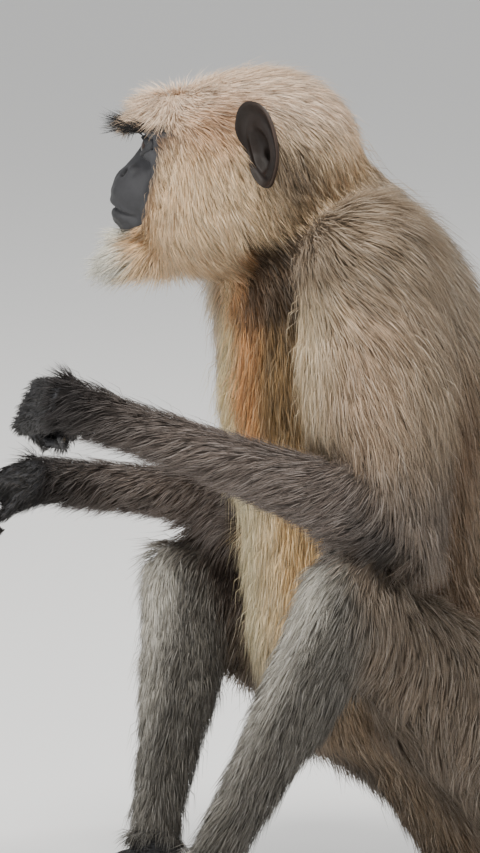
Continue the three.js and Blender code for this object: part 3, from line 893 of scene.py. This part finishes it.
def throat_shade(points):
    """1 in the hollow of the neck under the ruff, where shade is painted."""
    f, _, u = to_head(points).T
    edge = np.interp(f, HOLLOW_FORWARD, HOLLOW_TOP)
    level = (1 - smoothstep(edge - 7, edge + 1, u)) * smoothstep(-98, -84, u)
    return level * smoothstep(-112, -96, f) * (1 - smoothstep(-46, -34, f))


def throat_paint(points):
    """Tan at the front of the hollow, and painted shade behind."""
    count = len(points)
    ahead = smoothstep(-54, -42, to_head(points)[:, 0])
    return mix(np.tile(PAINT["throat_shadow"], (count, 1)), np.tile(PAINT["chest_tan"], (count, 1)), ahead)


def head_paint(points):
    head = to_head(points)
    f, l, u = head.T
    sides = np.stack([f, np.abs(l), u], axis=1)
    paint = mix(PAINT["cheek"], PAINT["crown"], smoothstep(-4, 26, u))
    paint = mix(paint, PAINT["temple"], 0.85 * mound(sides, (-32, 42, 18), (46, 34, 34)))
    paint = mix(paint, PAINT["temple"], 0.8 * mound(sides, (0, 32, 10), (20, 14, 14)))
    paint = mix(paint, PAINT["behind_ear"], 0.95 * mound(sides, (-80, 44, -8), (36, 44, 38)))
    paint = mix(paint, PAINT["golden"], 0.9 * mound(sides, (6, 24, -32), (22, 22, 32)))
    paint = mix(paint, PAINT["golden"], 0.95 * mound(sides, (7, 17, -51), (17, 20, 20)))
    paint = mix(paint, PAINT["chin"], smoothstep(8, 18, f) * (1 - smoothstep(-50, -40, u)))
    face_margin = (1 - smoothstep(0, 7, face_gap(head))) * smoothstep(-46, -38, u)
    paint = mix(paint, PAINT["face_edge"], 0.7 * face_margin)
    # Hair under the pale fringe is painted black: the brow's black bristles, and painted shade under the
    # fringe.
    under_brow = (1 - smoothstep(12, 14, u)) * smoothstep(8, 10, u) * smoothstep(-2, 6, f)
    paint = mix(paint, PAINT["bristle"], under_brow)
    return mix(paint, throat_paint(points), 0.95 * throat_shade(points))


# How far forward the chest and belly reach, by height.
FRONT_HEIGHTS = (0.15, 0.25, 0.30, 0.36)
FRONT_REACH = (-0.129, -0.136, -0.146, -0.144)
MIDLINE = -0.035


def trunk_paint(points):
    """Pale rim, tan and shade from the front round to the side; nape, back and flank behind."""
    x, y, z = points.T
    turned = 0.93 * y + 0.37 * np.abs(x - MIDLINE)
    behind = (turned - np.interp(z, FRONT_HEIGHTS, FRONT_REACH)) / MM
    # Chest: the pale rim is painted rim light, the band by the arm painted shade. Belly: its own tones.
    high = smoothstep(0.24, 0.29, z)
    rim = mix(PAINT["belly"], PAINT["chest_rim_light"], high)
    tan = mix((PAINT["belly"] + PAINT["belly_side"]) / 2, PAINT["chest_tan"], high)
    shade = mix(PAINT["belly_side"], PAINT["chest_shade"], high)
    front = mix(mix(rim, tan, smoothstep(5, 12, behind)), shade, smoothstep(15, 25, behind))
    back = mix(PAINT["back"], PAINT["nape"], smoothstep(0.3, 0.42, z))
    # The flank under the arms is painted darker brown, as painted shade from the arms.
    back = mix(back, PAINT["flank"], smoothstep(0.03, 0.07, np.abs(x)) * (1 - smoothstep(0.27, 0.34, z)))
    return mix(front, back, np.maximum(smoothstep(56, 92, behind), 1 - smoothstep(0.12, 0.165, z)))


# Painted shadow in the fold between belly and right thigh: its middle and radii.
GROIN_SHADOW = ((-0.075, -0.138, 0.19), (0.05, 0.045, 0.042))


def node_paint(name, points):
    region = region_of(name)
    count = len(points)
    if region in ("head", "face"):
        return head_paint(points)
    if region in ("neck", "chest", "belly", "pelvis"):
        paint = mix(trunk_paint(points), throat_paint(points), 0.95 * throat_shade(points))
        # Painted shadow where the belly meets the right thigh, on the right side only.
        inner = smoothstep(0.028, 0.040, -points[:, 0])
        return mix(paint, PAINT["groin_shadow"], np.clip(2.5 * mound(points, *GROIN_SHADOW), 0, 1) * inner)
    if region == "tail":
        return np.tile(PAINT["tail_tip" if name.endswith("5") else "tail"], (count, 1))
    if region in ("hand", "foot"):
        return np.tile(PAINT[region], (count, 1))
    if region == "thigh":
        # Painted shadow on the right thigh where it meets the belly.
        fold_shadow = np.clip(2 * mound(points, *GROIN_SHADOW), 0, 1)
        return mix(np.tile(PAINT["thigh"], (count, 1)), PAINT["groin_shadow"], fold_shadow)
    joint = JOINT[name.split("_")[0]]
    if region == "upper_arm":
        turned = 0.93 * points[:, 1] + 0.37 * np.abs(points[:, 0])
        # The pale front is the arm's own colour, brightened with painted sunlight.
        paint = mix(PAINT["arm_sunlit_front"], PAINT["arm"], smoothstep(-0.122, -0.088, turned))
        back = np.maximum(smoothstep(-0.085, -0.045, turned), smoothstep(0.345, 0.375, points[:, 2]))
        paint = mix(paint, PAINT["arm_back"], back)
        return mix(PAINT["arm_low"], paint, smoothstep(0.25, 0.31, points[:, 2]))
    if region == "shin":
        # Its own grey, pale along the front as painted light and darker behind as painted shade.
        reach = joint["ankle"] - joint["knee"]
        ahead = joint["knee"][1] + reach[1] * (points[:, 2] - joint["knee"][2]) / reach[2] - points[:, 1]
        return mix(PAINT["shin"], PAINT["shin_front"], smoothstep(0.006, 0.024, ahead))
    reach = joint["wrist"] - joint["elbow"]
    along = (points - joint["elbow"]) @ reach / (reach @ reach)
    paint = mix(PAINT["elbow"], PAINT["forearm"], smoothstep(-0.05, 0.2, along))
    return mix(paint, PAINT["wrist"], smoothstep(0.55, 1.0, along))


def paint_field(surface, shares):
    return sum(shares[:, k : k + 1] * node_paint(name, surface.verts) for k, name in enumerate(FLESH))


# ---------------------------------------------------------------- tufts
UV_PATCH = 0.003
TUFT_TRIS = np.array([(0, 2, 1), (0, 3, 2), (0, 1, 3), (1, 2, 4), (2, 3, 4), (3, 1, 4)])
TUFT_LOCAL = np.array([(0.5, 0), (0, 0.45), (0.5, 0.45), (1, 0.45), (0.5, 1)]) - 0.5


def corners(mesh):
    """Vertices, loops and area of every triangle."""
    mesh.calc_loop_triangles()
    n = len(mesh.loop_triangles)
    verts = np.empty(n * 3, dtype=np.int32)
    loops = np.empty(n * 3, dtype=np.int32)
    areas = np.empty(n, dtype=np.float32)
    mesh.loop_triangles.foreach_get("vertices", verts)
    mesh.loop_triangles.foreach_get("loops", loops)
    mesh.loop_triangles.foreach_get("area", areas)
    return verts.reshape(-1, 3), loops.reshape(-1, 3), areas


def unwrap(piece):
    """UV of each corner of an unwrap of the skin's own shape."""
    bpy.context.view_layer.objects.active = piece
    piece.select_set(True)
    bpy.ops.object.mode_set(mode="EDIT")
    bpy.ops.mesh.select_all(action="SELECT")
    bpy.ops.uv.smart_project(angle_limit=math.radians(66), island_margin=0.002)
    bpy.ops.object.mode_set(mode="OBJECT")
    uv = np.empty(len(piece.data.loops) * 2, dtype=np.float32)
    piece.data.uv_layers.active.uv.foreach_get("vector", uv)
    return uv.reshape(-1, 2)


def wander(points, scale, seed):
    """A smooth random vector at each point."""
    shift = Vector((seed * 13.7, seed * 5.1, seed * 9.3))
    return np.array([noise.noise_vector(Vector(p) * scale + shift)[:] for p in points.tolist()])


def tuft_shape(tufts):
    """Five corners for each tuft: its root, three round its bend, and its tip."""
    root, normal, flow = tufts["root"], tufts["normal"], tufts["flow"]
    lift = tufts["lift"][:, None]
    length = tufts["length"][:, None]
    half = tufts["width"][:, None] / 2
    rise = flow * np.cos(lift) + normal * np.sin(lift)
    lay = flow * np.cos(lift * 0.42) + normal * np.sin(lift * 0.42) - UP * tufts["droop"]
    across = unit(np.cross(normal, flow))
    ridge = unit(np.cross(rise, across))
    start = root - normal * 0.8 * MM
    bend = start + rise * length * 0.45
    tip = bend + unit(lay) * length * 0.6
    ring = [bend - across * half, bend - ridge * half, bend + across * half]
    return np.stack([start] + ring + [tip], axis=1)


def gather(shape, grouping, pull):
    """Draws the tips of neighbouring tufts together into locks."""
    count = max(len(shape) // grouping, 1)
    seeds = RNG.choice(len(shape), count, replace=False)
    tree = KDTree(count)
    for i, seed in enumerate(seeds):
        tree.insert(shape[seed, 0], i)
    tree.balance()
    lock = np.array([tree.find(p)[1] for p in shape[:, 0].tolist()])
    size = np.bincount(lock, minlength=count).astype(float)[:, None]
    total = np.stack([np.bincount(lock, shape[:, 4, k], count) for k in range(3)], axis=1)
    mean = total / np.maximum(size, 1)
    shape[:, 4] += (mean[lock] - shape[:, 4]) * pull * RNG.uniform(0.3, 1.0, (len(shape), 1))
    return lock


def tuft_piece(name, shape, base, tip, uv, finish):
    """One piece of coat: closed tufts, each a small patch of the map at its root's place on the skin."""
    n = len(shape)
    tris = (TUFT_TRIS[None] + (np.arange(n) * 5)[:, None, None]).reshape(-1, 3)
    mesh = mesh_of(name, shape.reshape(-1, 3), tris)
    middle = (base + tip) / 2
    set_colours(mesh, "paint", np.stack([base, middle, middle, middle, tip], axis=1).reshape(-1, 3))
    patch = (uv[:, None, :] + TUFT_LOCAL[None] * UV_PATCH).reshape(-1, 2)
    layer = mesh.uv_layers.new(name="OFBake").uv
    layer.foreach_set("vector", patch[tris.ravel()].astype(np.float32).ravel())
    mesh.materials.append(finish)
    piece = new_object(name, mesh)
    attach(piece, "root")


def head_length(head):
    """How long hair is on each part of the head, as a share of its usual length."""
    f, _, u = head.T
    short = smoothstep(-3, 7, face_gap(head))
    chin = smoothstep(8, 22, f) * (1 - smoothstep(-52, -46, u))
    ruff = smoothstep(-46, -60, u) * (1 - chin)
    brow = smoothstep(0, 14, f) * smoothstep(12, 20, u)
    return 0.4 + 0.6 * np.maximum(short, 0.7 * chin) + 0.35 * chin + 0.2 * ruff - 0.3 * brow


# How much darker a tuft is at its root, and lighter at its tip: on the body, and on the head.
# Partly the hair's own darker roots and paler tips, partly painted shade deep in the coat and painted glow at
# the tips.
ROOT_SHADE = (0.72, 0.68)
TIP_GLOW = (1.12, 1.2)
# Tufts that stand clear of the rest: their share, and how many times longer, wider and steeper they are.
GUARD = {"share": 0.07, "length": 1.2, "width": 0.75, "lift": 1.6}
# How far the lie of the coat strays: in broad waves, in narrow ones, and from tuft to tuft.
STRAY = {"broad": 0.3, "narrow": 0.4, "tuft": 0.12}
# How many tufts a lock has, and how far their tips are drawn together.
LOCK = {"tufts": 14, "pull": 0.45}
# How much the tone differs from tuft to tuft, and from lock to lock.
TONE = {"tuft": 0.19, "lock": 0.12}
# The pale tufts among the rest: their share, how pale they are, and how far they turn to it.
PALE = {"share": 0.3, "level": 0.92, "strength": 0.42}


def grow_coat(piece, surface, shares, map_uv, finish):
    """Tufts all over the skin but the bare face, in pieces by the groups of regions."""
    flow, normals = flow_field(surface, shares)
    tri_verts, tri_loops, areas = corners(piece.data)
    head = to_head(surface.verts)
    on_head = region_share(shares, "head", "face")
    bare = (1 - smoothstep(-2.0, 3.5, face_gap(head))) * (on_head > 0.3)
    density = by_region(shares, 4) * (1 - bare)
    fields = {
        "at": surface.verts,
        "normal": normals,
        "flow": flow,
        "paint": paint_field(surface, shares),
        "length": by_region(shares, 1) * (1 + on_head * (head_length(head) - 1)),
        "width": by_region(shares, 2),
        "lift": by_region(shares, 3),
        "group": np.stack([region_share(shares, *regions) for regions in GROUPS.values()], axis=1),
    }
    weight = areas * density[tri_verts].mean(axis=1)
    pick = RNG.choice(len(weight), TUFTS, p=weight / weight.sum())
    r1, r2 = RNG.random((2, TUFTS))
    s = np.sqrt(r1)
    spot = np.stack([1 - s, s * (1 - r2), s * r2], axis=1)
    tri = tri_verts[pick]
    root = {key: np.einsum("nc...,nc->n...", values[tri], spot) for key, values in fields.items()}
    uv = np.einsum("ncu,nc->nu", map_uv[tri_loops[pick]], spot)
    normal = unit(root["normal"])
    stray = wander(root["at"], 45, 1) * STRAY["broad"] + wander(root["at"], 190, 2) * STRAY["narrow"]
    stray = stray + RNG.normal(0, STRAY["tuft"], (TUFTS, 3))
    lie = root["flow"] + stray
    guard = RNG.random(TUFTS) < GUARD["share"]
    tufts = {
        "root": root["at"],
        "normal": normal,
        "flow": unit(lie - normal * (lie * normal).sum(axis=1, keepdims=True)),
        "length": root["length"] * MM * RNG.uniform(0.6, 1.15, TUFTS) * np.where(guard, GUARD["length"], 1),
        "width": root["width"] * MM * RNG.uniform(0.7, 1.25, TUFTS) * np.where(guard, GUARD["width"], 1),
        "lift": np.radians(root["lift"] * RNG.uniform(0.55, 1.35, TUFTS) * np.where(guard, GUARD["lift"], 1)),
        "droop": 0.1,
    }
    shape = tuft_shape(tufts)
    lock = gather(shape, LOCK["tufts"], LOCK["pull"])
    shape[:, :, 2] = np.maximum(shape[:, :, 2], 0.2 * MM)
    varied = RNG.normal(0, TONE["tuft"], TUFTS) + RNG.normal(0, TONE["lock"], lock.max() + 1)[lock]
    tone = (1 + varied * (1 + 0.7 * root["group"][:, 0]))[:, None].clip(0.3)
    paint = root["paint"] * tone
    light = (RNG.random(TUFTS) < PALE["share"])[:, None] * PALE["strength"]
    paint = paint + (np.sqrt(paint.clip(0)) * PALE["level"] - paint) * light
    group = np.where(clear_of_ears(shape), np.argmax(root["group"], axis=1), -1)
    for g, label in enumerate(GROUPS):
        members = np.flatnonzero(group == g)
        for part, start in enumerate(range(0, len(members), PIECE_LIMIT)):
            m = members[start : start + PIECE_LIMIT]
            piece_name = f"coat_{label}_{part + 1}"
            roots = paint[m] * ROOT_SHADE[label == "head"]
            tips = paint[m] * TIP_GLOW[label == "head"]
            tips = tips / np.maximum(tips.max(axis=1, keepdims=True), 1)
            tuft_piece(piece_name, shape[m], roots, tips, uv[m], finish)


# ---------------------------------------------------------------- brows
BRISTLES = 560
# Where they stand in the head frame: height, and half the row's own height and breadth. mm.
BRISTLE_ROW = {"height": 11.5, "half_height": 2.5, "half_breadth": 27}
BRISTLE_LENGTH = (9, 20)
BRISTLE_WIDTH = 0.42


def grow_brows(piece, surface, map_uv, finish):
    """Black bristles that stand forward from under the pale fringe of the brow."""
    head = to_head(surface.verts)
    f, l, u = head.T
    level = np.abs(u - BRISTLE_ROW["height"]) < BRISTLE_ROW["half_height"]
    rows = np.flatnonzero(level & (np.abs(l) < BRISTLE_ROW["half_breadth"]) & (f > 2))
    pick = RNG.choice(rows, BRISTLES)
    tri_verts, tri_loops, _ = corners(piece.data)
    uv = np.zeros((len(head), 2))
    uv[tri_verts.ravel()] = map_uv[tri_loops.ravel()]
    out = head[pick]
    normal = surface.normals()[pick]
    lean = np.stack([np.ones(BRISTLES), out[:, 1] / 34, RNG.uniform(-0.25, 0.5, BRISTLES)], axis=1)
    flow = unit(lean + RNG.normal(0, 0.12, (BRISTLES, 3))) @ HEAD_AXES
    tufts = {
        "root": surface.verts[pick],
        "normal": normal,
        "flow": flow,
        "length": RNG.uniform(*BRISTLE_LENGTH, BRISTLES) * MM,
        "width": np.full(BRISTLES, BRISTLE_WIDTH * MM),
        "lift": np.zeros(BRISTLES),
        "droop": 0.0,
    }
    black = np.tile(PAINT["bristle"], (BRISTLES, 1))
    tuft_piece("coat_brows", tuft_shape(tufts), black, black, uv[pick], finish)


# ---------------------------------------------------------------- eyes
# Half the angle that iris and pupil take up, seen from the eyeball's middle, and how far the front of the eye
# stands out, as a share of its radius.
IRIS_ANGLE = 36
PUPIL_ANGLE = 14
BULGE = 0.05


def eyeball(side, finish):
    """One eye, painted with pupil, iris and white, and looking a little outward."""
    verts, tris = round_ball(6, EYE_RADIUS * MM)
    gaze = unit(FORWARD + LEFTWARD * SIDES[side] * 0.12 - UP * 0.05)
    angle = np.degrees(np.arccos(np.clip(unit(verts) @ gaze, -1, 1)))
    paint = mix(PAINT["iris"], PAINT["sclera"], smoothstep(IRIS_ANGLE - 3, IRIS_ANGLE + 3, angle))
    iris_edge = smoothstep(IRIS_ANGLE - 8, IRIS_ANGLE, angle) * (angle < IRIS_ANGLE)
    paint = mix(paint, PAINT["iris"] * 0.4, iris_edge)
    paint = mix(paint, PAINT["pupil"], 1 - smoothstep(PUPIL_ANGLE - 1.5, PUPIL_ANGLE + 1.5, angle))
    bulge = 1 + BULGE * (1 - smoothstep(0, IRIS_ANGLE * 1.2, angle))
    mesh = mesh_of(f"{side}_eyeball", verts * bulge[:, None] + EYES[side], tris)
    set_colours(mesh, "paint", paint)
    mesh.materials.append(finish)
    piece = new_object(f"{side}_eyeball", mesh)
    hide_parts(f"{side}_eye")
    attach(piece, "root")


def add_nails(material):
    verts, tris = nail_meshes(hand_and_foot_rods()[1])
    mesh = mesh_of("nails", verts, tris)
    mesh.materials.append(material)
    piece = new_object("nails", mesh)
    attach(piece, "root")


# ---------------------------------------------------------------- finishes
def new_finish(name, roughness):
    material = bpy.data.materials.new(name)
    material.use_nodes = True
    shader = material.node_tree.nodes["Principled BSDF"]
    shader.inputs["Roughness"].default_value = roughness
    return material, material.node_tree, shader


def add(tree, kind, settings=(), **inputs):
    """A node of a kind, with its settings, and its inputs set or linked."""
    node = tree.nodes.new(kind)
    for key, value in settings:
        setattr(node, key, value)
    for key, value in inputs.items():
        socket = node.inputs[int(key[1:])] if key[0] == "_" else node.inputs[key]
        if isinstance(value, bpy.types.NodeSocket):
            tree.links.new(value, socket)
        else:
            socket.default_value = value
    return node


def painted(tree):
    return add(tree, "ShaderNodeAttribute", [("attribute_name", "paint")]).outputs["Color"]


def floor_finish():
    material, _, shader = new_finish("pale_floor", 0.9)
    shader.inputs["Base Color"].default_value = (0.8, 0.8, 0.79, 1)
    return material


def coat_finish():
    material, tree, shader = new_finish("coat_hair", 0.6)
    shader.inputs["Specular IOR Level"].default_value = 0.3
    tree.links.new(painted(tree), shader.inputs["Base Color"])
    return material


def leather_group():
    """Creased, pored leather: a height for bump, and a faint mottle."""
    group = bpy.data.node_groups.new("leather", "ShaderNodeTree")
    group.interface.new_socket("Height", in_out="OUTPUT", socket_type="NodeSocketFloat")
    group.interface.new_socket("Mottle", in_out="OUTPUT", socket_type="NodeSocketFloat")
    place = add(group, "ShaderNodeTexCoord").outputs["Object"]
    cells = add(group, "ShaderNodeTexVoronoi", [("feature", "DISTANCE_TO_EDGE")], Vector=place, Scale=900.0)
    creases = add(group, "ShaderNodeTexNoise", Vector=place, Scale=260.0, Detail=4.0)
    mottle = add(group, "ShaderNodeTexNoise", Vector=place, Scale=90.0, Detail=3.0)
    pores = cells.outputs["Distance"]
    height = add(group, "ShaderNodeMath", [("operation", "MULTIPLY_ADD")], _0=pores, _1=0.5)
    group.links.new(creases.outputs["Factor" if "Factor" in creases.outputs else "Fac"], height.inputs[2])
    end = group.nodes.new("NodeGroupOutput")
    group.links.new(height.outputs[0], end.inputs["Height"])
    group.links.new(mottle.outputs[0], end.inputs["Mottle"])
    return group


def skin_finish():
    material, tree, shader = new_finish("skin", 0.5)
    shader.inputs["Specular IOR Level"].default_value = 0.28
    leather = tree.nodes.new("ShaderNodeGroup")
    leather.node_tree = leather_group()
    bare = add(tree, "ShaderNodeAttribute", [("attribute_name", "bare")]).outputs["Fac"]
    shade = add(tree, "ShaderNodeMapRange", _0=leather.outputs["Mottle"], _1=0.3, _2=0.7, _3=0.75, _4=1.3)
    scale = shade.outputs[0]
    tint = add(tree, "ShaderNodeVectorMath", [("operation", "SCALE")], _0=painted(tree), Scale=scale)
    tree.links.new(tint.outputs[0], shader.inputs["Base Color"])
    rough = add(tree, "ShaderNodeMapRange", _0=bare, _1=0.0, _2=1.0, _3=0.95, _4=0.58)
    tree.links.new(rough.outputs[0], shader.inputs["Roughness"])
    bump = add(tree, "ShaderNodeBump", Strength=0.35, Distance=0.0006, Height=leather.outputs["Height"])
    tree.links.new(bump.outputs[0], shader.inputs["Normal"])
    return material


def nail_finish():
    material, _, shader = new_finish("nail_horn", 0.3)
    shader.inputs["Base Color"].default_value = (0.018, 0.015, 0.013, 1)
    return material


def eye_finish():
    material, tree, shader = new_finish("eye_wet", 0.06)
    shader.inputs["Specular IOR Level"].default_value = 0.25
    shader.inputs["Coat Weight"].default_value = 0.15
    tree.links.new(painted(tree), shader.inputs["Base Color"])
    return material


# ---------------------------------------------------------------- build
# How much lighter the rear rim of an ear is, as a painted highlight, and how dark the skin is under the coat.
RIM_LIGHT = 2.2
UNDERCOAT_SHADE = 0.65


def finish_skin(piece, surface, shares, material):
    """The one skin with its lids and ears joined on, and its paint."""
    gap = face_gap(to_head(surface.verts))
    face = (1 - smoothstep(0.5, 4.0, gap)) * (region_share(shares, "head", "face") > 0.3)
    limbs = smoothstep(0.3, 0.7, region_share(shares, "hand", "foot"))
    bare = np.maximum(face, limbs)
    head = to_head(surface.verts)
    sides = head * (1, 0, 1) + np.outer(np.abs(head[:, 1]), (0, 1, 0))
    # Bare face painted lighter towards the top, as painted light against the brow's shade.
    leather = PAINT["skin"] * (1 + 0.4 * smoothstep(-24, -6, head[:, 2:]) * face[:, None])
    # Nostrils painted near black, as painted shade in their pits.
    nostrils = np.clip(3 * mound(sides, NOSTRIL["place"], NOSTRIL["radii"]), 0, 1)
    leather = mix(leather, PAINT["nostril"], nostrils)
    # Skin under the coat is darker: partly the undercoat's own tone, partly painted shade deep in the coat.
    paint = mix(paint_field(surface, shares) * UNDERCOAT_SHADE, leather, bare)
    verts, tris, paints = [surface.verts], [corners(piece.data)[0]], [paint]
    joined = ((lids(), "skin"), (ear("left"), "ear_skin"), (ear("right"), "ear_skin"))
    for (more_verts, more_tris), tint in joined:
        tris.append(more_tris + sum(len(v) for v in verts))
        verts.append(more_verts)
        row, column = np.divmod(np.arange(len(more_verts)), EAR_COUNT)
        # A painted highlight along the rear rim of each ear.
        rear_rim_highlight = (np.abs(row - EAR_RIM_ROW + 2) < 3) * np.cos(column * 2 * math.pi / EAR_COUNT).clip(0)
        paints.append(PAINT[tint] * (1 + RIM_LIGHT * (tint == "ear_skin") * rear_rim_highlight[:, None]))
    mesh = mesh_of("skin", np.concatenate(verts), np.concatenate(tris))
    paint = np.concatenate(paints)
    set_colours(mesh, "paint", paint)
    set_numbers(mesh, "bare", np.concatenate([bare, np.ones(len(paint) - len(bare))]))
    mesh.materials.append(material)
    skin = new_object("skin", mesh)
    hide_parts(*FLESH, "left_ear", "right_ear")
    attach(skin, "root")


set_camera()
set_studio()
piece, surface, shares = build_skin()
hair = coat_finish()
skin_map = unwrap(piece)
grow_coat(piece, surface, shares, skin_map, hair)
grow_brows(piece, surface, skin_map, hair)
finish_skin(piece, surface, shares, skin_finish())
bpy.data.objects.remove(piece)
add_nails(nail_finish())
wet = eye_finish()
for side in SIDES:
    eyeball(side, wet)
